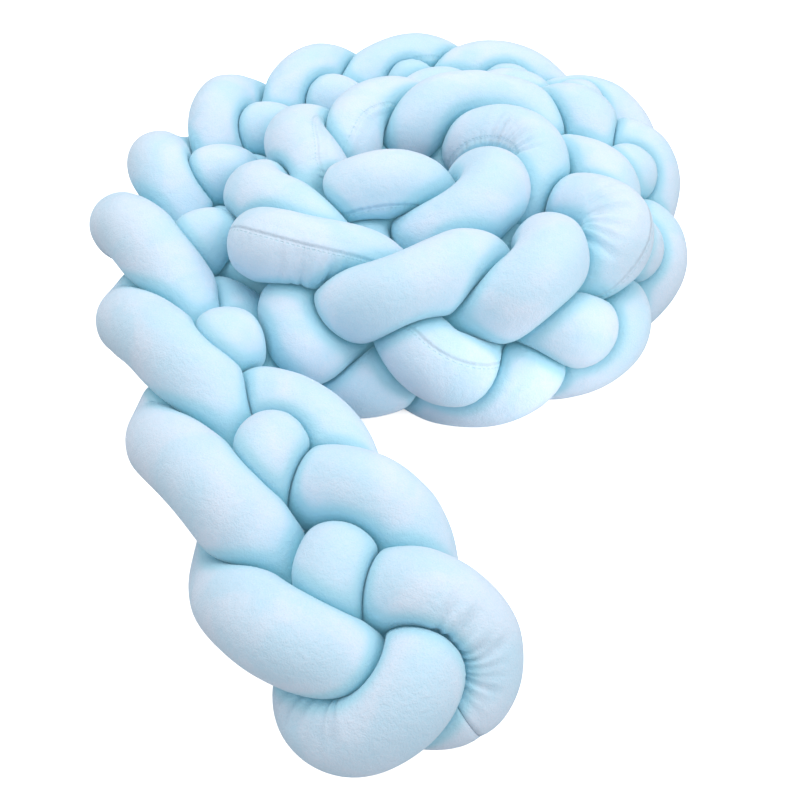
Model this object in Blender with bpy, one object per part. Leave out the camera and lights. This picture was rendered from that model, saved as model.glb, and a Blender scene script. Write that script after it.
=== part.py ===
"""Braided crib bumper: four stuffed velvet tubes in a flat four-strand braid.

The braid lies on its face as a short tail, then runs clockwise into a coil of nearly two
turns.  Over the first turn it rolls up from its face on to its left-hand edge, and it ends
tucked into the middle of the coil.  At the open end of the tail the four tubes are joined in
pairs, end to end, which makes the two loops there.

Metres, +Z up.  The origin is under the middle of the whole part, on the surface it lies on,
and the tail points to -Y.
"""
import math

import bmesh
import bpy
import numpy as np
from mathutils.bvhtree import BVHTree

# ---------------------------------------------------------------- driving sizes
TUBE_DIAMETER = 0.075
TUBE_RADIUS = TUBE_DIAMETER / 2
EDGE_REACH = 0.775 * TUBE_DIAMETER    # braid's middle line to the centre of an edge strand
WEAVE_RISE = 0.465 * TUBE_DIAMETER    # how far a strand's centre goes above and below the middle
EDGE_SHARE = 0.10                     # radians by which it stays up or down longer near an edge
EDGE_DWELL = -0.05                    # below 0 a strand turns back more sharply at the edge
SWELL_LIMIT = 1.10                    # a pressed tube bulges by at most this factor
CORNER_SOFTNESS = 9                   # higher is a sharper crease where two tubes press
NEIGHBOUR_REACH = 2.6 * TUBE_RADIUS   # tubes whose centres are nearer than this press each other
BEND_ALLOWANCE = 3.2 * TUBE_RADIUS    # along a tube, nearer than this is the same bend
LEAST_FACING = 0.05                   # cosine under which a neighbour doesn't limit a direction
NO_LIMIT = 1.0
TUBE_GAP = 0.0012                     # kept between two tubes' surfaces where they press
LEAST_GAP = 0.0004                    # smallest gap after the facets are eased apart
SIDES = 12
RING_SPACING = 0.029                  # along each tube
DENSITY = 4                           # points between rings when nearness is measured
CURVE_STEP = 0.125                    # pitches between the points that a strand's curve is read at
SWELL_ROUNDS = 12
SWELL_SPREAD = (0.1, 0.2, 0.4, 0.2, 0.1)
SEAM_GAP = 0.0006                     # between two tubes' ends at their seam
SEAM_DRAW = 0.92                      # a sewn end is drawn in to this share
END_ROUNDING = ((0.45, 0.006), (0.82, 0.0))
EASE_STEP = 0.02
EASE_ROUNDS = 90

# The braid's middle line, a row for each pitch.  The bearing is clockwise from the front of
# the coil's centre, the roll is 0 with the braid's face up and 90 with it facing outwards,
# and the drag is how far its left edge runs ahead of its right one.
COIL_CENTRE = (0.0, 0.255)
ROUTE = (
    # bearing, radius, height, roll, drag
    (-2, 0.648, 0.064, 2, 0.52),
    (7, 0.567, 0.069, -2, 0.60),
    (17, 0.467, 0.075, -10, 0.70),
    (37, 0.353, 0.082, -20, 0.70),
    (65, 0.279, 0.083, -20, 0.62),
    (96, 0.251, 0.079, -15, 0.60),
    (129, 0.242, 0.076, -12, 0.60),
    (160, 0.243, 0.072, -6, 0.60),
    (188, 0.252, 0.069, 2, 0.55),
    (213, 0.262, 0.073, 11, 0.46),
    (240, 0.265, 0.084, 26, 0.36),
    (268, 0.252, 0.092, 43, 0.28),
    (298, 0.259, 0.095, 57, 0.18),
    (324, 0.272, 0.097, 66, 0.05),
    (351, 0.256, 0.097, 70, 0.02),
    (380, 0.232, 0.096, 79, 0.02),
    (409, 0.174, 0.092, 86, 0.04),
    (455, 0.112, 0.090, 87, 0.14),
    (520, 0.100, 0.089, 88, 0.20),
    (584, 0.122, 0.090, 87, 0.22),
    (627, 0.132, 0.093, 82, 0.20),
    (678, 0.146, 0.097, 77, 0.18),
    (728, 0.120, 0.101, 77, 0.14),
    (775, 0.064, 0.098, 85, 0.10),
)
# No hand-made braid is even: where a strand lies off its regular path, and by how much.
OFFSETS = (
    # strand, pitch, x, y, z
    (0, 1.00, 0.016, 0.000, 0.000),
    (0, 2.20, 0.020, 0.004, 0.004),
    (0, 3.20, 0.030, -0.002, 0.000),
    (0, 4.00, -0.010, 0.014, 0.004),
    (0, 5.10, 0.030, -0.016, 0.006),
    (0, 6.32, 0.010, -0.010, -0.032),
    (0, 7.20, -0.034, -0.020, 0.006),
    (0, 7.85, 0.010, 0.006, 0.004),
    (0, 12.95, 0.004, -0.014, -0.004),
    (0, 13.95, 0.018, 0.010, 0.008),
    (0, 14.7, -0.010, 0.000, 0.004),
    (0, 15.5, 0.006, -0.022, -0.020),
    (0, 17.85, -0.014, -0.016, -0.008),
    (0, 22.1, 0.006, 0.026, 0.012),
    (1, 0.60, -0.008, -0.012, -0.008),
    (1, 2.10, 0.014, 0.000, 0.008),
    (1, 3.28, 0.010, 0.000, -0.030),
    (1, 4.15, 0.038, 0.000, -0.020),
    (1, 6.00, 0.014, -0.030, 0.000),
    (1, 7.28, 0.004, -0.012, -0.030),
    (1, 8.30, -0.024, 0.000, 0.012),
    (1, 8.95, 0.018, 0.002, 0.002),
    (1, 10.1, -0.014, 0.022, 0.006),
    (1, 11.2, -0.015, 0.000, -0.020),
    (1, 14.0, 0.002, -0.026, -0.006),
    (1, 15.4, -0.010, 0.016, 0.016),
    (1, 18.9, -0.010, 0.014, 0.010),
    (1, 19.5, 0.036, 0.004, 0.000),
    (2, 0.20, -0.010, 0.002, 0.002),
    (2, 0.70, -0.003, 0.010, 0.004),
    (2, 2.15, -0.010, 0.020, 0.010),
    (2, 3.15, 0.028, -0.026, 0.008),
    (2, 4.32, 0.004, 0.000, -0.036),
    (2, 5.20, 0.024, -0.010, -0.006),
    (2, 7.00, -0.006, -0.032, 0.000),
    (2, 9.35, -0.006, -0.010, 0.005),
    (2, 9.95, 0.018, 0.000, 0.000),
    (2, 12.3, 0.015, 0.002, 0.002),
    (2, 13.4, 0.016, 0.006, -0.010),
    (2, 14.95, -0.006, -0.022, -0.004),
    (2, 20.1, 0.005, 0.010, 0.006),
    (3, 1.20, 0.020, 0.028, 0.010),
    (3, 1.70, -0.004, 0.028, 0.010),
    (3, 2.30, 0.024, 0.004, -0.004),
    (3, 3.05, -0.004, 0.030, -0.008),
    (3, 4.15, 0.034, -0.016, 0.010),
    (3, 5.38, 0.016, 0.000, -0.034),
    (3, 6.20, 0.004, -0.022, 0.000),
    (3, 8.00, -0.028, 0.002, 0.000),
    (3, 10.4, -0.012, -0.008, 0.020),
    (3, 10.9, -0.006, -0.004, 0.012),
    (3, 13.05, 0.012, 0.006, 0.008),
    (3, 14.35, 0.014, 0.000, -0.012),
    (3, 15.9, -0.014, -0.008, 0.000),
    (3, 21.1, 0.008, 0.016, 0.012),
)
OFFSET_REACH = 0.36                # in pitches, to either side
LAST_PITCH = 22.60                    # the strands' far ends, hidden in the coil

# The two loops at the open end, from the strand that comes up the right-hand side or the
# middle, round to the strand it is sewn to.  The seam is at each loop's first row.
FRONT_LOOP = (
    # x, y, z
    (0.021, -0.376, 0.080),
    (0.014, -0.404, 0.078),
    (-0.010, -0.420, 0.060),
    (-0.042, -0.424, 0.042),
    (-0.068, -0.402, 0.036),
)
SIDE_LOOP = (
    # x, y, z
    (0.066, -0.370, 0.060),
    (0.050, -0.394, 0.040),
)
# strand before the loop, loop, strand after it, first pitch of each strand, row of the seam
PAIRS = (
    (3, FRONT_LOOP, 0, 0.40, 0.50, 0),
    (2, SIDE_LOOP, 1, 0.15, 0.15, 1),
)

VELVET = (0.62, 0.83, 0.92, 1.0)


# ---------------------------------------------------------------- curves
def spline_through(points, parameters, at):
    """Natural cubic spline through points with rising parameters, read at other parameters."""
    gaps = np.diff(parameters)
    count = len(points)
    matrix = np.zeros((count, count))
    matrix[0, 0] = 1.0
    matrix[-1, -1] = 1.0
    bends = np.zeros((count, points.shape[1]))
    slopes = np.diff(points, axis=0) / gaps[:, None]
    for row in range(1, count - 1):
        matrix[row, row - 1] = gaps[row - 1]
        matrix[row, row] = 2 * (gaps[row - 1] + gaps[row])
        matrix[row, row + 1] = gaps[row]
        bends[row] = 6 * (slopes[row] - slopes[row - 1])
    bends = np.linalg.solve(matrix, bends)
    cell = np.clip(np.searchsorted(parameters, at, side="right") - 1, 0, count - 2)
    gap = gaps[cell][:, None]
    before = (at - parameters[cell])[:, None]
    after = gap - before
    value = (bends[cell] * after ** 3 + bends[cell + 1] * before ** 3) / (6 * gap)
    value += (points[cell] / gap - bends[cell] * gap / 6) * after
    value += (points[cell + 1] / gap - bends[cell + 1] * gap / 6) * before
    return value


def unit(vectors):
    return vectors / np.linalg.norm(vectors, axis=-1, keepdims=True)


def route_rows():
    """The route table as x, y, z, roll and drag."""
    rows = []
    for bearing, radius, height, roll, drag in ROUTE:
        angle = math.radians(bearing)
        x = COIL_CENTRE[0] - radius * math.sin(angle)
        y = COIL_CENTRE[1] - radius * math.cos(angle)
        rows.append((x, y, height, math.radians(roll), drag))
    return np.array(rows)


def braid_strand(strand, pitches):
    """Middle line of one strand of the braid: its left tips are at strand + 4n pitches."""
    rows = route_rows()
    stations = np.arange(len(rows), dtype=float)
    here = spline_through(rows, stations, pitches)
    ahead = spline_through(rows[:, :3], stations, pitches + CURVE_STEP / 10)
    behind = spline_through(rows[:, :3], stations, pitches - CURVE_STEP / 10)
    travel = unit(ahead - behind)
    left = unit(np.cross((0.0, 0.0, 1.0), travel))
    upward = np.cross(travel, left)
    roll = here[:, 3:4]
    across = np.cos(roll) * left - np.sin(roll) * upward + here[:, 4:5] * travel
    face = np.sin(roll) * left + np.cos(roll) * upward
    phase = (pitches - strand) * math.pi / 2
    reach = (np.cos(phase) - EDGE_DWELL * np.cos(3 * phase)) / (1 - EDGE_DWELL)
    rise = -WEAVE_RISE * np.sin(3 * (phase - EDGE_SHARE * np.sin(2 * phase)))
    middle_line = here[:, :3] + EDGE_REACH * reach[:, None] * across + rise[:, None] * face
    for number, pitch, x, y, z in OFFSETS:
        if number == strand:
            share = np.exp(-((pitches - pitch) / OFFSET_REACH) ** 2)
            middle_line = middle_line + share[:, None] * (x, y, z)
    return middle_line


def pair_lines():
    """The two sewn pairs' middle lines as evenly spaced points, each with its seam's ring."""
    lines = []
    for before, loop, after, first_before, first_after, seam_row in PAIRS:
        start = braid_strand(before, np.arange(first_before, LAST_PITCH, CURVE_STEP))[::-1]
        end = braid_strand(after, np.arange(first_after, LAST_PITCH, CURVE_STEP))
        points = np.vstack([start, loop, end])
        travelled = np.concatenate([[0], np.cumsum(np.linalg.norm(np.diff(points, axis=0), axis=1))])
        count = int(round(travelled[-1] / RING_SPACING))
        line = spline_through(points, travelled, np.linspace(0, travelled[-1], count + 1))
        dense = spline_through(points, travelled, np.linspace(0, travelled[-1], count * DENSITY + 1))
        seam = int(round(travelled[len(start) + seam_row] / travelled[-1] * count))
        lines.append((line, dense, seam))
    return lines


# ---------------------------------------------------------------- a tube pressed by its neighbours
def ring_directions(line):
    """For each ring, its tangent and SIDES unit directions that don't twist along the line."""
    tangents = unit(np.gradient(line, axis=0))
    side = unit(np.cross(tangents[0], (0.0, 0.0, 1.0)))
    angles = np.arange(SIDES) * 2 * math.pi / SIDES
    rings = []
    for tangent in tangents:
        side = side - tangent * np.dot(side, tangent)
        side = side / np.linalg.norm(side)
        other = np.cross(tangent, side)
        rings.append(np.cos(angles)[:, None] * side + np.sin(angles)[:, None] * other)
    return tangents, np.array(rings)


def free_radii(line, directions, own, spacing, everything):
    """How far each ring may reach in each direction before it is nearer to another tube."""
    limits = np.full(directions.shape[:2], NO_LIMIT)
    for ring, centre in enumerate(line):
        for number, dense in everything:
            offsets = dense - centre
            distances = np.linalg.norm(offsets, axis=1)
            near = distances < NEIGHBOUR_REACH
            if number == own:
                along = np.abs(np.arange(len(dense)) / DENSITY - ring) * spacing
                near &= along > BEND_ALLOWANCE
            if not near.any():
                continue
            towards = offsets[near] / distances[near][:, None]
            room = distances[near] / 2 - TUBE_GAP / 2
            facing = directions[ring] @ towards.T
            reach = np.where(facing > LEAST_FACING, room / np.maximum(facing, LEAST_FACING), NO_LIMIT)
            limits[ring] = np.minimum(limits[ring], reach.min(axis=1))
    return limits


def pressed_radii(limits):
    """Radii of a tube flattened to its limits that bulges where it is free, its girth kept."""
    angles = np.arange(SIDES) * 2 * math.pi / SIDES
    round_girth = 2 * SIDES * TUBE_RADIUS * math.sin(math.pi / SIDES)
    swell = np.ones(len(limits))
    for _ in range(SWELL_ROUNDS):
        radii = soft_least(TUBE_RADIUS * swell[:, None], limits)
        x, y = radii * np.cos(angles), radii * np.sin(angles)
        girth = np.hypot(x - np.roll(x, 1, axis=1), y - np.roll(y, 1, axis=1)).sum(axis=1)
        swell = np.clip(swell * round_girth / girth, 1.0, SWELL_LIMIT)
    swell = np.convolve(np.pad(swell, len(SWELL_SPREAD) // 2, mode="edge"), SWELL_SPREAD, mode="valid")
    return soft_least(TUBE_RADIUS * swell[:, None], limits)


def soft_least(round_radius, limit):
    total = round_radius ** -CORNER_SOFTNESS + limit ** -float(CORNER_SOFTNESS)
    return total ** (-1 / CORNER_SOFTNESS)


def tube_solid(centres, tangents, directions, radii):
    """Points, faces and each point's ring centre.  The sewn end comes first and is flat."""
    inner = centres.copy()
    inner[0] = inner[0] + tangents[0] * SEAM_GAP / 2
    radii = radii.copy()
    radii[0] *= SEAM_DRAW
    for back, (share, step) in enumerate(END_ROUNDING):
        radii[-1 - back] *= share
        inner[-1 - back] = inner[-1 - back] - tangents[-1 - back] * step
    points = inner[:, None, :] + radii[:, :, None] * directions
    count = len(inner)
    faces = []
    for ring in range(count - 1):
        for side in range(SIDES):
            following = (side + 1) % SIDES
            a = ring * SIDES + side
            b = ring * SIDES + following
            faces.append((a, b, b + SIDES))
            faces.append((a, b + SIDES, a + SIDES))
    first = count * SIDES
    for side in range(SIDES):
        following = (side + 1) % SIDES
        faces.append((first, following, side))
        last_ring = (count - 1) * SIDES
        faces.append((first + 1, last_ring + side, last_ring + following))
    points = np.vstack([points.reshape(-1, 3), inner[:1], inner[-1:]])
    owners = np.vstack([np.repeat(inner, SIDES, axis=0), inner[:1], inner[-1:]])
    rings = np.concatenate([np.repeat(np.arange(count), SIDES), [0, count - 1]])
    return {"points": points, "faces": np.array(faces), "owners": owners, "rings": rings}


# ---------------------------------------------------------------- no facet touches another
def swollen_tree(solid):
    outward = solid["points"] - solid["owners"]
    lengths = np.maximum(np.linalg.norm(outward, axis=1, keepdims=True), 1e-6)
    points = solid["points"] + outward / lengths * LEAST_GAP
    return BVHTree.FromPolygons(points.tolist(), solid["faces"].tolist(), all_triangles=True)


def pull_in(solid, faces):
    touched = np.unique(solid["faces"][sorted(faces)])
    solid["points"][touched] += (solid["owners"] - solid["points"])[touched] * EASE_STEP


def ease_apart(solids):
    """Draw in the faces that come nearer than the least gap, until none does."""
    for _ in range(EASE_ROUNDS):
        trees = [swollen_tree(solid) for solid in solids]
        meeting = [set() for _ in solids]
        for first in range(len(solids)):
            for second in range(first, len(solids)):
                for a, b in trees[first].overlap(trees[second]):
                    if first == second:
                        ring_a = solids[first]["rings"][solids[first]["faces"][a]]
                        ring_b = solids[first]["rings"][solids[first]["faces"][b]]
                        if abs(int(ring_a.min()) - int(ring_b.min())) < 3:
                            continue
                    meeting[first].add(a)
                    meeting[second].add(b)
        if not any(meeting):
            return
        for solid, faces in zip(solids, meeting):
            if faces:
                pull_in(solid, faces)
    raise RuntimeError("two tubes still touch")


# ---------------------------------------------------------------- Blender objects
def velvet():
    material = bpy.data.materials.new("pale_blue_velvet")
    material.use_nodes = True
    shader = material.node_tree.nodes["Principled BSDF"]
    shader.inputs["Base Color"].default_value = VELVET
    shader.inputs["Roughness"].default_value = 0.85
    shader.inputs["Metallic"].default_value = 0.0
    return material


def add_object(name, solid, collection):
    mesh = bpy.data.meshes.new(name)
    mesh.from_pydata(solid["points"].tolist(), [], solid["faces"].tolist())
    shaper = bmesh.new()
    shaper.from_mesh(mesh)
    bmesh.ops.recalc_face_normals(shaper, faces=shaper.faces)
    shaper.to_mesh(mesh)
    shaper.free()
    mesh.shade_smooth()
    mesh.materials.append(velvet())
    piece = bpy.data.objects.new(name, mesh)
    collection.objects.link(piece)
    return piece


def strand_solids():
    lines = pair_lines()
    everything = [(number, dense) for number, (_, dense, _) in enumerate(lines)]
    solids = []
    for number, (line, _, seam) in enumerate(lines):
        tangents, directions = ring_directions(line)
        spacing = np.linalg.norm(np.diff(line, axis=0), axis=1).mean()
        radii = pressed_radii(free_radii(line, directions, number, spacing, everything))
        back = slice(seam, None, -1)
        onward = slice(seam, None)
        for part, sign in ((back, -1), (onward, 1)):
            solids.append(tube_solid(line[part], sign * tangents[part], directions[part], radii[part]))
    return solids


for leftover in list(bpy.data.objects):
    bpy.data.objects.remove(leftover, do_unlink=True)
bumper = bpy.data.collections.new("braided_crib_bumper")
bpy.context.scene.collection.children.link(bumper)

strands = strand_solids()
for solid in strands:
    solid["points"][:, 2] = np.maximum(solid["points"][:, 2], 0.0)
ease_apart(strands)
everywhere = np.vstack([solid["points"] for solid in strands])
middle = (everywhere.min(axis=0) + everywhere.max(axis=0)) / 2
for number, solid in enumerate(strands, start=1):
    solid["points"] -= (middle[0], middle[1], 0.0)
    add_object(f"strand_{number}", solid, bumper)
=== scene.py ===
"""Braided crib bumper in pale blue velvet: four stuffed tubes in a flat braid, coiled.

The four strands are worked out together first, because each is pressed by the others.  Then
each pair of strands that is sewn end to end has its own section, and the floor, the lights
and the camera come last.  Metres, +Z up.
"""
import math

import bpy
import numpy as np
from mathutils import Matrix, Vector


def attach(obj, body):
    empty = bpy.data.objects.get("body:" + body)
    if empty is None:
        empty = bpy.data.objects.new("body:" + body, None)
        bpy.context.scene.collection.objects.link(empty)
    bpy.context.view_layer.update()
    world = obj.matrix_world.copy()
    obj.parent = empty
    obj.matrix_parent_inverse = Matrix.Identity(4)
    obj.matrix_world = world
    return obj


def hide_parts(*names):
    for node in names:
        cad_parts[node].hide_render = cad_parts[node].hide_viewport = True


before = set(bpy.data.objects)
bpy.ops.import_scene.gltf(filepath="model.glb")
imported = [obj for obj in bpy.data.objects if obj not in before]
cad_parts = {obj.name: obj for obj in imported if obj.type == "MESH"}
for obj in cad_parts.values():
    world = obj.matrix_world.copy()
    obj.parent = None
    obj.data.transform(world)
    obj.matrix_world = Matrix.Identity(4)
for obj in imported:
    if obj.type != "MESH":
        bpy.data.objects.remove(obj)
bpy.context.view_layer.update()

# ---------------------------------------------------------------- the braid
# Four tubes of velvet stuffed with polyester fibre are plaited flat, as four-strand cord is.
# The braid lies flat in the tail, leans over as it winds into the coil and stands on its
# left-hand edge in the inner turn, held by its own grip and the two seams at its open end.
TUBE_RADIUS = 0.0375
EDGE_REACH = 0.0581                # braid's middle line to the centre of an edge strand
WEAVE_RISE = 0.035                 # how far a strand goes above and below the middle layer
EDGE_SHARE = 0.10                  # how much longer it stays up or down beside an edge, radians
EDGE_DWELL = -0.05                 # above 0 it stays longer at an edge, below 0 it leaves sooner
COIL_CENTRE = (0.0, 0.255)
# The braid's middle, one row a pitch: the bearing and the roll are in degrees, the bearing
# clockwise from the front, and drag is how far the left-hand edge runs ahead of the middle, as
# a share of its reach.
ROUTE = (
    # bearing, radius, height, roll, drag
    (-2, 0.648, 0.064, 2, 0.52),
    (7, 0.567, 0.069, -2, 0.60),
    (17, 0.467, 0.075, -10, 0.70),
    (37, 0.353, 0.082, -20, 0.70),
    (65, 0.279, 0.083, -20, 0.62),
    (96, 0.251, 0.079, -15, 0.60),
    (129, 0.242, 0.076, -12, 0.60),
    (160, 0.243, 0.072, -6, 0.60),
    (188, 0.252, 0.069, 2, 0.55),
    (213, 0.262, 0.073, 11, 0.46),
    (240, 0.265, 0.084, 26, 0.36),
    (268, 0.252, 0.092, 43, 0.28),
    (298, 0.259, 0.095, 57, 0.18),
    (324, 0.272, 0.097, 66, 0.05),
    (351, 0.256, 0.097, 70, 0.02),
    (380, 0.232, 0.096, 79, 0.02),
    (409, 0.174, 0.092, 86, 0.04),
    (455, 0.112, 0.090, 87, 0.14),
    (520, 0.100, 0.089, 88, 0.20),
    (584, 0.122, 0.090, 87, 0.22),
    (627, 0.132, 0.093, 82, 0.20),
    (678, 0.146, 0.097, 77, 0.18),
    (728, 0.120, 0.101, 77, 0.14),
    (775, 0.064, 0.098, 85, 0.10),
)
# Where a strand lies off its even path, as the photographed braid's do.
OFFSETS = (
    # strand, pitch, x, y, z
    (0, 1.00, 0.016, 0.000, 0.000),
    (0, 2.20, 0.020, 0.004, 0.004),
    (0, 3.20, 0.030, -0.002, 0.000),
    (0, 4.00, -0.010, 0.014, 0.004),
    (0, 5.10, 0.030, -0.016, 0.006),
    (0, 6.32, 0.010, -0.010, -0.032),
    (0, 7.20, -0.034, -0.020, 0.006),
    (0, 7.85, 0.010, 0.006, 0.004),
    (0, 12.95, 0.004, -0.014, -0.004),
    (0, 13.95, 0.018, 0.010, 0.008),
    (0, 14.7, -0.010, 0.000, 0.004),
    (0, 15.5, 0.006, -0.022, -0.020),
    (0, 17.85, -0.014, -0.016, -0.008),
    (0, 22.1, 0.006, 0.026, 0.012),
    (1, 0.60, -0.008, -0.012, -0.008),
    (1, 2.10, 0.014, 0.000, 0.008),
    (1, 3.28, 0.010, 0.000, -0.030),
    (1, 4.15, 0.038, 0.000, -0.020),
    (1, 6.00, 0.014, -0.030, 0.000),
    (1, 7.28, 0.004, -0.012, -0.030),
    (1, 8.30, -0.024, 0.000, 0.012),
    (1, 8.95, 0.018, 0.002, 0.002),
    (1, 10.1, -0.014, 0.022, 0.006),
    (1, 11.2, -0.015, 0.000, -0.020),
    (1, 14.0, 0.002, -0.026, -0.006),
    (1, 15.4, -0.010, 0.016, 0.016),
    (1, 18.9, -0.010, 0.014, 0.010),
    (1, 19.5, 0.036, 0.004, 0.000),
    (2, 0.20, -0.010, 0.002, 0.002),
    (2, 0.70, -0.003, 0.010, 0.004),
    (2, 2.15, -0.010, 0.020, 0.010),
    (2, 3.15, 0.028, -0.026, 0.008),
    (2, 4.32, 0.004, 0.000, -0.036),
    (2, 5.20, 0.024, -0.010, -0.006),
    (2, 7.00, -0.006, -0.032, 0.000),
    (2, 9.35, -0.006, -0.010, 0.005),
    (2, 9.95, 0.018, 0.000, 0.000),
    (2, 12.3, 0.015, 0.002, 0.002),
    (2, 13.4, 0.016, 0.006, -0.010),
    (2, 14.95, -0.006, -0.022, -0.004),
    (2, 20.1, 0.005, 0.010, 0.006),
    (3, 1.20, 0.020, 0.028, 0.010),
    (3, 1.70, -0.004, 0.028, 0.010),
    (3, 2.30, 0.024, 0.004, -0.004),
    (3, 3.05, -0.004, 0.030, -0.008),
    (3, 4.15, 0.034, -0.016, 0.010),
    (3, 5.38, 0.016, 0.000, -0.034),
    (3, 6.20, 0.004, -0.022, 0.000),
    (3, 8.00, -0.028, 0.002, 0.000),
    (3, 10.4, -0.012, -0.008, 0.020),
    (3, 10.9, -0.006, -0.004, 0.012),
    (3, 13.05, 0.012, 0.006, 0.008),
    (3, 14.35, 0.014, 0.000, -0.012),
    (3, 15.9, -0.014, -0.008, 0.000),
    (3, 21.1, 0.008, 0.016, 0.012),
)
OFFSET_REACH = 0.36                # in pitches, to either side
LAST_PITCH = 22.60                 # where all four strands end
PITCH_STEP = 0.125                 # between the points that a strand's line is drawn through
TRAVEL_STEP = 0.01                 # in pitches, to either side, for the way the braid heads
FRONT_LOOP = (
    # x, y, z
    (0.021, -0.376, 0.080),
    (0.014, -0.404, 0.078),
    (-0.010, -0.420, 0.060),
    (-0.042, -0.424, 0.042),
    (-0.068, -0.402, 0.036),
)
SIDE_LOOP = (
    # x, y, z
    (0.066, -0.370, 0.060),
    (0.050, -0.394, 0.040),
)
# strand before the loop, loop, strand after it, first pitch of each strand, row of the seam
PAIRS = (
    (3, FRONT_LOOP, 0, 0.40, 0.50, 0),
    (2, SIDE_LOOP, 1, 0.15, 0.15, 1),
)
PLACE = (0.01136, -0.07187, 0.0)   # from the braid's own zero to the part's
RING_SPACING = 0.003
SIDES = 60
MARK_EVERY = 2                     # rings between the points by which nearness is measured
STIFFNESS = 13                     # rings to either side over which a bend is evened out
TUBE_GAP = 0.0006                  # between two tubes that press on each other
PRESS_REACH = 2.6 * TUBE_RADIUS    # a point farther off than this presses on nothing
OWN_STRETCH = 3.2 * TUBE_RADIUS    # a tube isn't pressed by its own points this near along it
LEAST_FACING = 0.05                # cosine below which a point lies beside a direction
UNPRESSED = 1.0                    # limit of a radius where nothing is near
SWELL_LIMIT = 1.10                 # how much wider a tube may grow where it is free
SWELL_ROUNDS = 12                  # after which its girth no longer changes
SWELL_REACH = 22                   # rings to either side over which swelling is evened out
CORNER_SHARPNESS = 11              # of the bend from a pressed side to a free one
RING_MEAN = (0.2, 0.6, 0.2)        # weights of a ring and its neighbours


def spline_through(points, parameters, at):
    """Natural cubic spline through points with rising parameters, read at other parameters."""
    gaps = np.diff(parameters)
    count = len(points)
    matrix = np.zeros((count, count))
    matrix[0, 0] = 1.0
    matrix[-1, -1] = 1.0
    bends = np.zeros((count, points.shape[1]))
    slopes = np.diff(points, axis=0) / gaps[:, None]
    for row in range(1, count - 1):
        matrix[row, row - 1] = gaps[row - 1]
        matrix[row, row] = 2 * (gaps[row - 1] + gaps[row])
        matrix[row, row + 1] = gaps[row]
        bends[row] = 6 * (slopes[row] - slopes[row - 1])
    bends = np.linalg.solve(matrix, bends)
    cell = np.clip(np.searchsorted(parameters, at, side="right") - 1, 0, count - 2)
    gap = gaps[cell][:, None]
    before = (at - parameters[cell])[:, None]
    after = gap - before
    value = (bends[cell] * after ** 3 + bends[cell + 1] * before ** 3) / (6 * gap)
    value += (points[cell] / gap - bends[cell] * gap / 6) * after
    value += (points[cell + 1] / gap - bends[cell + 1] * gap / 6) * before
    return value


def unit(vectors):
    """The same directions, each 1 long."""
    return vectors / np.linalg.norm(vectors, axis=-1, keepdims=True)


def route_rows():
    """The route table as x, y, z, roll and drag."""
    rows = []
    for bearing, radius, height, roll, drag in ROUTE:
        angle = math.radians(bearing)
        x = COIL_CENTRE[0] - radius * math.sin(angle)
        y = COIL_CENTRE[1] - radius * math.cos(angle)
        rows.append((x, y, height, math.radians(roll), drag))
    return np.array(rows)


def braid_strand(strand, pitches):
    """Middle line of one strand of the braid: its left tips are at strand + 4n pitches."""
    rows = route_rows()
    stations = np.arange(len(rows), dtype=float)
    here = spline_through(rows, stations, pitches)
    ahead = spline_through(rows[:, :3], stations, pitches + TRAVEL_STEP)
    behind = spline_through(rows[:, :3], stations, pitches - TRAVEL_STEP)
    travel = unit(ahead - behind)
    left = unit(np.cross((0.0, 0.0, 1.0), travel))
    upward = np.cross(travel, left)
    roll = here[:, 3:4]
    across = np.cos(roll) * left - np.sin(roll) * upward + here[:, 4:5] * travel
    face = np.sin(roll) * left + np.cos(roll) * upward
    phase = (pitches - strand) * math.pi / 2
    reach = (np.cos(phase) - EDGE_DWELL * np.cos(3 * phase)) / (1 - EDGE_DWELL)
    rise = -WEAVE_RISE * np.sin(3 * (phase - EDGE_SHARE * np.sin(2 * phase)))
    middle = here[:, :3] + EDGE_REACH * reach[:, None] * across + rise[:, None] * face
    for number, pitch, x, y, z in OFFSETS:
        if number == strand:
            share = np.exp(-((pitches - pitch) / OFFSET_REACH) ** 2)
            middle = middle + share[:, None] * (x, y, z)
    return middle


def smoothed(values, weights, around):
    """Weighted mean along the rings, and then around each ring as often as asked."""
    reach = len(weights) // 2
    padded = np.pad(values, ((reach, reach), (0, 0)), mode="edge")
    total = sum(weight * padded[at:at + len(values)] for at, weight in enumerate(weights))
    for _ in range(around):
        total = total / 2 + (np.roll(total, 1, axis=1) + np.roll(total, -1, axis=1)) / 4
    return total


def evened(values, reach):
    """Running mean of one value a ring, with weights that fade to either side."""
    weights = np.hanning(2 * reach + 1)
    return np.convolve(np.pad(values, reach, mode="edge"), weights / weights.sum(), mode="valid")


def pair_lines():
    """Each sewn pair's middle line: evenly spaced rings, marks, and the ring of the seam."""
    lines = []
    for before, loop, after, first_before, first_after, seam_row in PAIRS:
        start = braid_strand(before, np.arange(first_before, LAST_PITCH, PITCH_STEP))[::-1]
        end = braid_strand(after, np.arange(first_after, LAST_PITCH, PITCH_STEP))
        points = np.vstack([start, loop, end])
        steps = np.linalg.norm(np.diff(points, axis=0), axis=1)
        travelled = np.concatenate([[0], np.cumsum(steps)])
        rings = int(round(travelled[-1] / RING_SPACING))
        line = spline_through(points, travelled, np.linspace(0, travelled[-1], rings + 1))
        weights = np.hanning(2 * STIFFNESS + 3)[1:-1]
        line = smoothed(line, weights / weights.sum(), 0)
        seam = int(round(travelled[len(start) + seam_row] / travelled[-1] * rings))
        lines.append((line, line[::MARK_EVERY], seam))
    return lines


def side_angles():
    """The angles of a ring's points round the tube."""
    return np.arange(SIDES) * 2 * math.pi / SIDES


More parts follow.
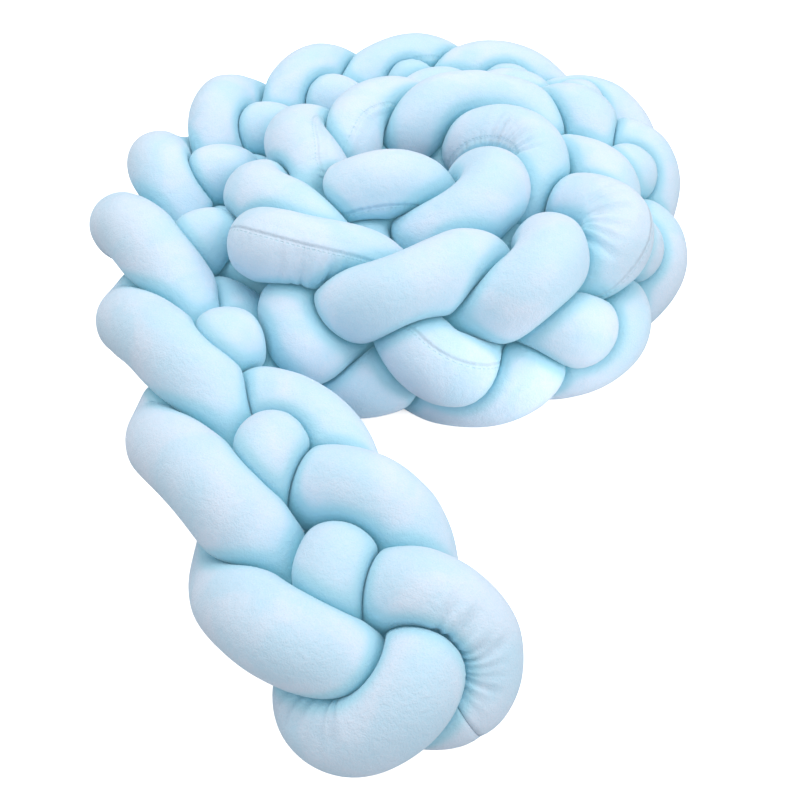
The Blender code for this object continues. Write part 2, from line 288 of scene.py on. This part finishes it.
def ring_directions(line):
    """For each ring, its tangent and SIDES unit directions that don't twist along the line."""
    tangents = unit(np.gradient(line, axis=0))
    side = unit(np.cross(tangents[0], (0.0, 0.0, 1.0)))
    angles = side_angles()
    rings = []
    for tangent in tangents:
        side = side - tangent * np.dot(side, tangent)
        side = side / np.linalg.norm(side)
        other = np.cross(tangent, side)
        rings.append(np.cos(angles)[:, None] * side + np.sin(angles)[:, None] * other)
    return tangents, np.array(rings)


def free_radii(line, directions, own, everything):
    """How far each ring may reach in each direction before it is nearer to another tube."""
    limits = np.full(directions.shape[:2], UNPRESSED)
    for ring, centre in enumerate(line):
        for number, dots in everything:
            offsets = dots - centre
            distances = np.linalg.norm(offsets, axis=1)
            near = distances < PRESS_REACH
            if number == own:
                along = np.abs(np.arange(len(dots)) * MARK_EVERY - ring) * RING_SPACING
                near &= along > OWN_STRETCH
            if not near.any():
                continue
            towards = offsets[near] / distances[near][:, None]
            room = distances[near] / 2 - TUBE_GAP / 2
            facing = directions[ring] @ towards.T
            reach = room / np.maximum(facing, LEAST_FACING)
            reach = np.where(facing > LEAST_FACING, reach, UNPRESSED)
            limits[ring] = np.minimum(limits[ring], reach.min(axis=1))
    return limits


def soft_least(round_radius, limit):
    """The smaller of the two, passing smoothly from one to the other."""
    total = round_radius ** -CORNER_SHARPNESS + limit ** -float(CORNER_SHARPNESS)
    return total ** (-1 / CORNER_SHARPNESS)


def pressed_radii(limits):
    """Radii of a tube flattened to its limits that bulges where it is free, its girth kept."""
    angles = side_angles()
    swell = np.ones(len(limits))
    for _ in range(SWELL_ROUNDS):
        radii = soft_least(TUBE_RADIUS * swell[:, None], limits)
        x = radii * np.cos(angles)
        y = radii * np.sin(angles)
        girth = np.hypot(x - np.roll(x, 1, axis=1), y - np.roll(y, 1, axis=1)).sum(axis=1)
        swell = np.clip(swell * 2 * math.pi * TUBE_RADIUS / girth, 1.0, SWELL_LIMIT)
    swell = evened(swell, SWELL_REACH)
    radii = soft_least(TUBE_RADIUS * swell[:, None], limits)
    return np.minimum(smoothed(radii, RING_MEAN, 1), limits)


lines = pair_lines()
everything = [(number, dots) for number, (_, dots, _) in enumerate(lines)]
tubes = []
for number, (line, _, seam) in enumerate(lines):
    tangents, directions = ring_directions(line)
    limits = free_radii(line, directions, number, everything)
    tubes.append((line, tangents, directions, pressed_radii(limits), limits, seam))


# ---------------------------------------------------------------- the front loop's two strands
# Two tubes of stretch velvet, each cut as one long strip, sewn along its length and stuffed.
# They are joined end to end by a hand-sewn seam, and the join makes the big loop at the tail's
# open end.
PALE_BLUE = (0.735, 0.83, 0.96, 1.0)       # the pile lying flat
CLOUDED_BLUE = (0.555, 0.79, 0.945, 1.0)   # brushed the other way
PAINTED_SHADE_BLUE = (0.46, 0.75, 0.88, 1.0)        # painted shade: a deeper blue near where tubes press on each other
PAINTED_CREASE_BLUE = (0.36, 0.68, 0.78, 1.0)      # painted shade down in the crease between two tubes
BLACK = (0.0, 0.0, 0.0, 1.0)
PAINTED_CREASE_GLOW = 0.06                 # painted light: a faint glow of the crease colour in the deepest creases, though no lamp is there


def wire(tree, kind, operation=None, inputs=(), settings=()):
    """Adds a node; inputs are (number or name, socket or value), settings (name, value)."""
    node = tree.nodes.new(kind)
    if operation:
        node.operation = operation
    for name, value in settings:
        setattr(node, name, value)
    for key, value in inputs:
        if isinstance(value, bpy.types.NodeSocket):
            tree.links.new(value, node.inputs[key])
        else:
            node.inputs[key].default_value = value
    return node


def bell(tree, distance, width):
    """1 where the distance is nought, fading over the width to either side."""
    share = wire(tree, "ShaderNodeMath", "DIVIDE", [(0, distance), (1, width)])
    square = wire(tree, "ShaderNodeMath", "POWER", [(0, share.outputs[0]), (1, 2.0)])
    negative = wire(tree, "ShaderNodeMath", "MULTIPLY", [(0, square.outputs[0]), (1, -1.0)])
    return wire(tree, "ShaderNodeMath", "EXPONENT", [(0, negative.outputs[0])]).outputs[0]


def slope(tree, value, first, last, low=0.0, high=1.0):
    """A smooth step from low to high between two values."""
    node = wire(tree, "ShaderNodeMapRange", None, [
        ("Value", value), ("From Min", first), ("From Max", last),
        ("To Min", low), ("To Max", high),
    ], [("interpolation_type", "SMOOTHSTEP")])
    return node.outputs["Result"]


def times(tree, first, second):
    return wire(tree, "ShaderNodeMath", "MULTIPLY", [(0, first), (1, second)]).outputs[0]


def plus(tree, first, second):
    return wire(tree, "ShaderNodeMath", "ADD", [(0, first), (1, second)]).outputs[0]


def mix(tree, share, first, second):
    """A colour between two.  In a Mix node these go by number: share, colours, and result."""
    node = wire(tree, "ShaderNodeMix", None, [
        (0, share), (6, first), (7, second),
    ], [("data_type", "RGBA")])
    return node.outputs[2]


def noise(tree, place, scale, detail, other=()):
    node = wire(tree, "ShaderNodeTexNoise", None, [
        ("Vector", place), ("Scale", scale), ("Detail", detail), *other,
    ])
    return node.outputs["Fac"]


GROOVE_WIDTH = 0.0020
GROOVE_DEPTH = 0.0004
LAP_HEIGHT = 0.0012                # of the seam allowance that lies under the velvet
LAP_RISE = (-0.0008, 0.0036)       # from the groove, where the lap begins and is full
LAP_FALL = (0.0035, 0.0120)        # where it begins to fall and ends
PUCKER_SPACING = 0.0075
PUCKER_REACH = 0.0070              # to either side of the groove
PUCKER_HEIGHT = 0.00028
PUCKER_WAVER = 9.0                 # radians by which the puckers' spacing wanders
STITCH_HALF = 0.0019               # half the distance from one stitch to the next
STITCH_PLACE = 0.0026              # from the groove, on the side without the lap
STITCH_WIDTH = 0.0006
STITCH_DEPTH = 0.0004
STITCH_ENDS = (0.0006, 0.0011)     # along it, where the thread comes up and is full


def lengthwise_seam():
    """The strip's seam: a groove, the lap beside it, its puckers and a row of small stitches."""
    group = bpy.data.node_groups.new("lengthwise_seam", "ShaderNodeTree")
    group.interface.new_socket("Cloth", in_out="INPUT", socket_type="NodeSocketVector")
    group.interface.new_socket("Height", in_out="OUTPUT", socket_type="NodeSocketFloat")
    group.interface.new_socket("Thread", in_out="OUTPUT", socket_type="NodeSocketFloat")
    entry = group.nodes.new("NodeGroupInput")
    leave = group.nodes.new("NodeGroupOutput")
    cloth = wire(group, "ShaderNodeSeparateXYZ", None, [(0, entry.outputs["Cloth"])])
    along, across = cloth.outputs["X"], cloth.outputs["Y"]
    groove = times(group, bell(group, across, GROOVE_WIDTH), -GROOVE_DEPTH)
    lap_up = slope(group, across, *LAP_RISE)
    lap_down = slope(group, across, *LAP_FALL, low=1.0, high=0.0)
    lap = times(group, times(group, lap_up, lap_down), LAP_HEIGHT)
    waver = wire(group, "ShaderNodeTexNoise", None, [
        ("W", along), ("Scale", 60.0), ("Detail", 1.0),
    ], [("noise_dimensions", "1D")])
    wandering = times(group, waver.outputs["Fac"], PUCKER_WAVER)
    wave = plus(group, times(group, along, 2 * math.pi / PUCKER_SPACING), wandering)
    ripple = wire(group, "ShaderNodeMath", "SINE", [(0, wave)]).outputs[0]
    beside = bell(group, across, PUCKER_REACH)
    puckers = times(group, times(group, ripple, beside), PUCKER_HEIGHT)
    run = wire(group, "ShaderNodeMath", "PINGPONG", [(0, along), (1, STITCH_HALF)]).outputs[0]
    dash = slope(group, run, *STITCH_ENDS)
    line = bell(group, plus(group, across, STITCH_PLACE), STITCH_WIDTH)
    thread = times(group, dash, line)
    sunk = times(group, thread, -STITCH_DEPTH)
    height = plus(group, plus(group, groove, lap), plus(group, puckers, sunk))
    group.links.new(height, leave.inputs["Height"])
    group.links.new(thread, leave.inputs["Thread"])
    return group


# Shares of the clouds, blotches and tips in the pile's colour, and their heights in metres.
CLOUD_SHARE = 0.55
BLOTCH_SHARE = 0.45
TIP_SHARE = 0.35
BLOTCH_HEIGHT = 0.0010
TIP_HEIGHT = 0.0005
# Values of the noise at which a cloud begins and is full, and over which the tips vary.
CLOUD_AT = (0.36, 0.66)
TIP_AT = (0.3, 0.7)


def velvet_pile():
    """Short pile: clouds where it was brushed, finer blotches, and the grain of its tips."""
    group = bpy.data.node_groups.new("velvet_pile", "ShaderNodeTree")
    group.interface.new_socket("Place", in_out="INPUT", socket_type="NodeSocketVector")
    group.interface.new_socket("Brushed", in_out="OUTPUT", socket_type="NodeSocketFloat")
    group.interface.new_socket("Height", in_out="OUTPUT", socket_type="NodeSocketFloat")
    entry = group.nodes.new("NodeGroupInput")
    leave = group.nodes.new("NodeGroupOutput")
    place = entry.outputs["Place"]
    clouds = noise(group, place, scale=14.0, detail=2.0, other=[("Distortion", 0.6)])
    blotches = noise(group, place, scale=130.0, detail=3.0, other=[("Roughness", 0.6)])
    tips = noise(group, place, scale=620.0, detail=2.0, other=[("Roughness", 0.6)])
    cloudy = times(group, slope(group, clouds, *CLOUD_AT), CLOUD_SHARE)
    tone = plus(group, cloudy, times(group, blotches, BLOTCH_SHARE))
    grain = times(group, slope(group, tips, *TIP_AT, low=-0.5, high=0.5), TIP_SHARE)
    tone = plus(group, tone, grain)
    group.links.new(tone, leave.inputs["Brushed"])
    height = plus(group, times(group, tips, TIP_HEIGHT), times(group, blotches, BLOTCH_HEIGHT))
    group.links.new(height, leave.inputs["Height"])
    return group


seam_effect = lengthwise_seam()
pile_effect = velvet_pile()
# How squeezed the pile is, the crease mask, where the painted shade, crease shade and glow begin
# and are full.
PAINTED_SHADE_AT = (0.02, 0.50)
PAINTED_CREASE_AT = (0.60, 1.0)
PAINTED_GLOW_AT = (0.70, 1.0)
STITCH_SHADE_SHARE = 0.40                # share of the painted crease colour laid on the stitches: the thread, and painted shade in its holes


def velvet():
    """Matt velvet with a soft sheen, and painted shade and glow where the tubes press together.
    """
    material = bpy.data.materials.new("pale_blue_velvet")
    material.use_nodes = True
    tree = material.node_tree
    shader = tree.nodes["Principled BSDF"]
    shader.inputs["Roughness"].default_value = 0.92
    shader.inputs["Specular IOR Level"].default_value = 0.15
    shader.inputs["Sheen Weight"].default_value = 0.45
    shader.inputs["Sheen Roughness"].default_value = 0.40
    shader.inputs["Sheen Tint"].default_value = (0.90, 0.93, 1.0, 1.0)
    place = tree.nodes.new("ShaderNodeTexCoord").outputs["Object"]
    pile = wire(tree, "ShaderNodeGroup", settings=[("node_tree", pile_effect)])
    tree.links.new(place, pile.inputs["Place"])
    cloth = wire(tree, "ShaderNodeUVMap", settings=[("uv_map", "cloth")])
    seam = wire(tree, "ShaderNodeGroup", settings=[("node_tree", seam_effect)])
    tree.links.new(cloth.outputs["UV"], seam.inputs["Cloth"])
    # The crease mask, made on the tubes' points, places the painted shade and the painted glow.
    attribute = wire(tree, "ShaderNodeAttribute", settings=[("attribute_name", "painted_crease_mask")])
    painted_crease_mask = attribute.outputs["Fac"]
    colour = mix(tree, pile.outputs["Brushed"], CLOUDED_BLUE, PALE_BLUE)
    # Painted shade: a deeper blue near where the tubes press together.
    colour = mix(tree, slope(tree, painted_crease_mask, *PAINTED_SHADE_AT), colour, PAINTED_SHADE_BLUE)
    # Painted shade: the crease colour down in the creases between the tubes.
    colour = mix(tree, slope(tree, painted_crease_mask, *PAINTED_CREASE_AT), colour, PAINTED_CREASE_BLUE)
    # The stitches take on the painted crease colour: the thread, and painted shade in its needle
    # holes.
    colour = mix(tree, times(tree, seam.outputs["Thread"], STITCH_SHADE_SHARE), colour, PAINTED_CREASE_BLUE)
    tree.links.new(colour, shader.inputs["Base Color"])
    # Painted light: the deepest creases glow faintly, though no lamp is there.
    glow = mix(tree, slope(tree, painted_crease_mask, *PAINTED_GLOW_AT), BLACK, PAINTED_CREASE_BLUE)
    tree.links.new(glow, shader.inputs["Emission Color"])
    shader.inputs["Emission Strength"].default_value = PAINTED_CREASE_GLOW
    height = plus(tree, pile.outputs["Height"], seam.outputs["Height"])
    bump = wire(tree, "ShaderNodeBump", None, [
        ("Strength", 1.0), ("Distance", 1.0), ("Height", height),
    ])
    tree.links.new(bump.outputs["Normal"], shader.inputs["Normal"])
    return material


blue_velvet = velvet()
# The rings at the sewn end: share of the radius, and how far the ring is drawn into the tube.
SEWN_END = ((0.965, 0.0003), (0.985, 0.0001), (0.995, 0.0))
FAR_END = (0.30, 0.55, 0.74, 0.86, 0.94, 0.985)     # shares of the radius from the tip on
FOLD_WIDTH = 0.0027
FOLD_DEPTH = 0.0048
FOLD_CUT = 4                       # in widths from a fold's middle, where it ends
FOLD_CORE = 0.3                    # share of a fold's reach over which it is fully deep
# How one fold differs from the next: by a factor, or in its slant, in metres a radian.
WIDTH_VARIES = (0.85, 1.25)
DEPTH_VARIES = (0.45, 1.0)
REACH_VARIES = (0.75, 1.35)
SLANT_VARIES = (-0.003, 0.003)
SPACING_VARIES = (0.75, 1.3)
TIGHT_BEND = (0.50, 0.90)          # tube radius over bend radius: folds begin, folds are full
PLAIN_FOLDS = 0.22                 # share of the depth where no gathers are asked for
PLAIN_SPACING = 0.016
PLAIN_REACH = math.radians(85)
GATHER_SPACING = 0.0085
GATHER_REACH = math.radians(48)
LUMP_HEIGHT = 0.0008
LUMP_WARP = 1.2                    # radians by which a slower wave shifts each wave
WARP_PACE = 0.37                   # that slower wave's pace, as a share of the wave's own
SEAM_REACH = 30                    # rings to either side over which the seam's turns are evened
SEAM_EASE = 0.12                   # metres in which it turns up to where it shows
SQUEEZED = (0.66, 1.0)             # share of the limit that a radius takes up: begins, full
SQUEEZED_MEAN = (0.15, 0.2, 0.3, 0.2, 0.15)
SQUEEZED_ROUNDS = 6
LEAST_LIMIT = 0.001                # so that nothing is divided by 0
CAP_PLACE = 0.1                    # of the two end caps on the cloth, out of the seam's way


def smooth_step(values, first, last):
    """0 up to the first value and 1 from the last on, with an easy passage between."""
    share = np.clip((values - first) / (last - first), 0.0, 1.0)
    return share * share * (3 - 2 * share)


def wrapped(angles):
    """The same angles, between half a turn back and half a turn on."""
    return (angles + math.pi) % (2 * math.pi) - math.pi


def within(rings, first, last, ease):
    """1 on a stretch of the tube, easing to 0 outside it."""
    return smooth_step(rings, first - ease, first) * (1 - smooth_step(rings, last, last + ease))


def folds(rings, angles, first, last, spacing, centre, reach, chance):
    """Depth, up to 1, of folds across the tube on a stretch of it, to either side of an angle."""
    depth = np.zeros((len(rings), len(angles)))
    place = first
    while place < last:
        width = FOLD_WIDTH * chance.uniform(*WIDTH_VARIES)
        share = chance.uniform(*DEPTH_VARIES)
        half = reach * chance.uniform(*REACH_VARIES)
        turned = wrapped(angles - centre(place))
        away = rings[:, None] - place - chance.uniform(*SLANT_VARIES) * turned[None, :]
        fold = np.where(np.abs(away) < FOLD_CUT * width, np.exp(-(away / width) ** 2), 0.0)
        around = 1 - smooth_step(np.abs(turned), half * FOLD_CORE, half)
        depth = np.maximum(depth, share * fold * around[None, :])
        place += spacing * chance.uniform(*SPACING_VARIES)
    return depth


def gathers(tangents, directions, stretches, seed):
    """The small folds on the inner side of tight bends, and the deep ones of the stretches."""
    chance = np.random.default_rng(seed)
    bend = np.gradient(tangents, RING_SPACING, axis=0) * TUBE_RADIUS
    tight = smooth_step(np.linalg.norm(bend, axis=1), *TIGHT_BEND)[:, None]
    facing = np.einsum("rsk,rk->rs", directions, bend)
    inner = np.unwrap(np.argmax(facing, axis=1) * 2 * math.pi / SIDES)
    rings = np.arange(len(tangents)) * RING_SPACING
    angles = side_angles()
    plain = folds(
        rings, angles, 0.0, rings[-1], PLAIN_SPACING,
        lambda place: np.interp(place, rings, inner), PLAIN_REACH, chance,
    )
    depth = PLAIN_FOLDS * plain * tight
    for first, last, degrees in stretches:
        deep = folds(
            rings, angles, first, last, GATHER_SPACING,
            lambda place: math.radians(degrees), GATHER_REACH, chance,
        )
        depth = np.maximum(depth, deep)
    return depth


LUMP_WAVES = (
    # direction x, y, z, wavelength in metres, phase
    (0.9, 0.3, 0.2, 0.083, 0.4),
    (-0.4, 0.8, 0.3, 0.061, 2.1),
    (0.2, -0.5, 0.9, 0.072, 4.4),
    (0.6, 0.7, -0.4, 0.049, 1.3),
    (-0.7, 0.2, 0.7, 0.043, 5.2),
)


def lumps(points):
    """Unevenness of the stuffing, between -1 and 1."""
    total = np.zeros(points.shape[:-1])
    for x, y, z, wavelength, phase in LUMP_WAVES:
        along = points @ (unit(np.array((x, y, z))) * 2 * math.pi / wavelength)
        total = total + np.sin(along + phase + LUMP_WARP * np.sin(along * WARP_PACE))
    return total / len(LUMP_WAVES)


def seam_angles(rings, directions, stretches):
    """Where round the tube its lengthwise seam lies: underneath, but for the stretches given."""
    lowest = np.unwrap(np.argmin(directions[:, :, 2], axis=1) * 2 * math.pi / SIDES)
    under = evened(lowest, SEAM_REACH)
    angles = under.copy()
    for first, last, first_degrees, last_degrees in stretches:
        wanted = np.radians(np.interp(rings, (first, last), (first_degrees, last_degrees)))
        centre = min(int(round((first + last) / 2 / RING_SPACING)), len(rings) - 1)
        turn = wanted - under
        turn = turn - turn[centre] + wrapped(turn[centre])
        angles = angles + within(rings, first, last, SEAM_EASE) * turn
    return angles


def strand_mesh(name, centres, tangents, directions, radii, limits, stretches, gathered, seed):
    """A closed stuffed tube from its sewn end, drawn in to a groove, to its rounded far end."""
    inner = centres.copy()
    count = len(inner)
    surface = inner[:, None, :] + radii[:, :, None] * directions
    radii = radii + LUMP_HEIGHT * lumps(surface)
    radii = radii - FOLD_DEPTH * gathers(tangents, directions, gathered, seed)
    radii = np.minimum(radii, limits)
    for ring, (share, step) in enumerate(SEWN_END):
        radii[ring] *= share
        inner[ring] = inner[ring] + tangents[ring] * step
    for back, share in enumerate(FAR_END, start=1):
        radii[-back] *= share
    points = inner[:, None, :] + radii[:, :, None] * directions
    points[:, :, 2] = np.maximum(points[:, :, 2], 0.0)
    grid = np.arange(count * SIDES).reshape(count, SIDES)
    following = np.roll(grid, -1, axis=1)
    quads = np.stack([grid[:-1], following[:-1], following[1:], grid[1:]], axis=-1).reshape(-1, 4)
    ends = [(count * SIDES, after, before) for before, after in zip(grid[0], following[0])]
    ends += [(count * SIDES + 1, before, after) for before, after in zip(grid[-1], following[-1])]
    vertices = np.vstack([points.reshape(-1, 3), inner[:1], inner[-1:]]) + PLACE
    mesh = bpy.data.meshes.new(name)
    mesh.from_pydata(vertices.tolist(), [], quads.tolist() + ends)
    rings = np.arange(count) * RING_SPACING
    turned = wrapped(side_angles()[None, :] - seam_angles(rings, directions, stretches)[:, None])
    turned = np.append(turned, turned[:, :1], axis=1)
    base = turned[:-1, :-1]
    corners = []
    for ring, side in ((0, 0), (0, 1), (1, 1), (1, 0)):
        corner = turned[ring:count - 1 + ring, side:SIDES + side]
        corner = base + wrapped(corner - base)
        along = np.repeat(rings[ring:count - 1 + ring, None], SIDES, axis=1)
        corners.append(np.stack([along, corner * TUBE_RADIUS], axis=-1))
    sheet = np.stack(corners, axis=2).reshape(-1)
    caps = np.full(len(ends) * 3 * 2, CAP_PLACE)
    layer = mesh.uv_layers.new(name="cloth")
    layer.data.foreach_set("uv", np.concatenate([sheet, caps]))
    # How fully each point fills its room against the other tubes: the mask of the velvet's
    # painted crease shade and glow.
    painted_crease_mask = smooth_step(radii / np.maximum(limits, LEAST_LIMIT), *SQUEEZED)
    painted_crease_mask = smoothed(painted_crease_mask, SQUEEZED_MEAN, SQUEEZED_ROUNDS)
    shade = mesh.attributes.new("painted_crease_mask", "FLOAT", "POINT")
    shade.data.foreach_set("value", np.append(painted_crease_mask, (1.0, 1.0)))
    mesh.shade_smooth()
    mesh.materials.append(blue_velvet)
    piece = bpy.data.objects.new(name, mesh)
    bpy.context.collection.objects.link(piece)
    return piece


def sewn_strand(name, node, number, onward, seam_shows, gathered):
    """One strand of a sewn pair: onward from the seam between the two, or back from it."""
    line, tangents, directions, radii, limits, seam = tubes[number]
    if onward:
        part = slice(seam, None)
        piece = strand_mesh(
            name, line[part], tangents[part], directions[part], radii[part], limits[part],
            seam_shows, gathered, 2 * number + 1,
        )
    else:
        part = slice(seam, None, -1)
        piece = strand_mesh(
            name, line[part], -tangents[part], directions[part][:, ::-1], radii[part][:, ::-1],
            limits[part][:, ::-1], seam_shows, gathered, 2 * number,
        )
    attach(piece, "root")
    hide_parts(node)


# Where each strand's lengthwise seam shows: from and to, in metres from the sewn end, and its
# angle round the tube there, in degrees.  Then where its cloth is gathered: from, to, angle.
SEAM_1 = ((3.14, 3.23, 336.0, 390.0),)
SEAM_2 = ((1.58, 1.70, 36.0, 36.0), (3.44, 3.52, 206.0, 240.0), (4.20, 4.27, 142.0, 152.0))
GATHERS_1 = ()
GATHERS_2 = ((0.095, 0.145, 238.0),)
sewn_strand("strand_1_velvet", "strand_1", 0, False, SEAM_1, GATHERS_1)
sewn_strand("strand_2_velvet", "strand_2", 0, True, SEAM_2, GATHERS_2)

# ---------------------------------------------------------------- the side loop's two strands
# The other two tubes, cut and stuffed like the first pair.  Their seam is at the right-hand
# side of the tail, where the tube turns back on itself under the front loop.
SEAM_3 = ((2.40, 2.47, 248.0, 240.0), (3.80, 3.88, 84.0, 72.0))
SEAM_4 = ((2.66, 2.73, 114.0, 114.0), (2.87, 2.97, 124.0, 130.0))
GATHERS_3 = ((0.008, 0.095, 78.0), (2.39, 2.46, 322.0), (3.82, 3.89, 66.0))
GATHERS_4 = ((2.89, 2.94, 86.0),)
sewn_strand("strand_3_velvet", "strand_3", 1, False, SEAM_3, GATHERS_3)
sewn_strand("strand_4_velvet", "strand_4", 1, True, SEAM_4, GATHERS_4)

# ---------------------------------------------------------------- the floor
# A white studio table.  To the camera it glows, so that it shows pure white without a shadow,
# except in narrow gaps under the tubes, where the glow fades.  What it throws back at the
# bumper is only the light that falls on it.
FLOOR_RADIUS = 120.0
FLOOR_HEIGHT = -0.0005             # just below the pressed undersides
GAP_REACH = 0.12                   # how far round a point the tubes may shut out its sky
GLOW_UNDER = (0.02, 0.09)          # share of open sky at which the glow begins and is full
bpy.ops.mesh.primitive_circle_add(
    vertices=96, radius=FLOOR_RADIUS, fill_type="NGON", location=(0.0, 0.0, FLOOR_HEIGHT),
)
floor = bpy.context.active_object
floor.name = "floor"
white = bpy.data.materials.new("white_table")
white.use_nodes = True
table = white.node_tree
shader = table.nodes["Principled BSDF"]
shader.inputs["Base Color"].default_value = (0.55, 0.56, 0.58, 1.0)
shader.inputs["Roughness"].default_value = 0.9
shader.inputs["Emission Color"].default_value = (1.0, 1.0, 1.0, 1.0)
looked_at = table.nodes.new("ShaderNodeLightPath")
sky = wire(table, "ShaderNodeAmbientOcclusion", None, [("Distance", GAP_REACH)], [("samples", 8)])
uncovered = slope(table, sky.outputs["AO"], *GLOW_UNDER)
glow = times(table, looked_at.outputs["Is Camera Ray"], uncovered)
table.links.new(glow, shader.inputs["Emission Strength"])
floor.data.materials.append(white)

# ---------------------------------------------------------------- the lights
# A white tent all round that is brightest overhead, a large soft light above and behind, a
# weaker one from the right, and a small card low in front that fills the coil's foot.
LIGHTS = (
    # name, place, aim, watts, size, spread in degrees
    ("overhead_softbox", (-0.1, 0.7, 2.2), (0.0, 0.05, 0.05), 17.0, 1.8, 180.0),
    ("right_softbox", (2.0, -0.9, 1.2), (0.0, 0.05, 0.05), 10.5, 1.4, 180.0),
    ("front_card", (0.50, -0.36, 0.12), (0.06, -0.10, 0.02), 0.09, 0.20, 45.0),
)
TENT_SIDES = 0.33                  # strength of the tent's light from the sides and below
TENT_TOP = 1.00
world = bpy.data.worlds.new("white_tent")
bpy.context.scene.world = world
world.use_nodes = True
tent = world.node_tree
around = tent.nodes.new("ShaderNodeTexCoord").outputs["Generated"]
direction = wire(tent, "ShaderNodeSeparateXYZ", None, [(0, around)])
brightness = slope(tent, direction.outputs["Z"], -0.1, 1.0, TENT_SIDES, TENT_TOP)
tent.nodes["Background"].inputs["Color"].default_value = (0.97, 0.985, 1.0, 1.0)
tent.links.new(brightness, tent.nodes["Background"].inputs["Strength"])
for name, place, aim, watts, size, spread in LIGHTS:
    lamp = bpy.data.lights.new(name, "AREA")
    lamp.energy = watts
    lamp.size = size
    lamp.spread = math.radians(spread)
    holder = bpy.data.objects.new(name, lamp)
    holder.location = place
    holder.rotation_euler = (Vector(aim) - Vector(place)).to_track_quat("-Z", "Y").to_euler()
    holder.visible_camera = False
    bpy.context.collection.objects.link(holder)
bpy.context.scene.view_settings.view_transform = "Standard"

# ---------------------------------------------------------------- the camera
# It stands in front of the tail's open end, as the photograph's does, and looks down at 45
# degrees at a point on the floor under the near side of the coil.
CAMERA_DISTANCE = 1.270            # from that point
CAMERA_PITCH = math.radians(45.0)
lens = bpy.data.cameras.new("camera")
lens.sensor_width = 36.0
lens.lens = 51.4
camera = bpy.data.objects.new("camera", lens)
camera.location = (
    PLACE[0],
    PLACE[1] - CAMERA_DISTANCE * math.cos(CAMERA_PITCH),
    CAMERA_DISTANCE * math.sin(CAMERA_PITCH),
)
camera.rotation_euler = (math.pi / 2 - CAMERA_PITCH, 0.0, 0.0)
bpy.context.collection.objects.link(camera)
bpy.context.scene.camera = camera
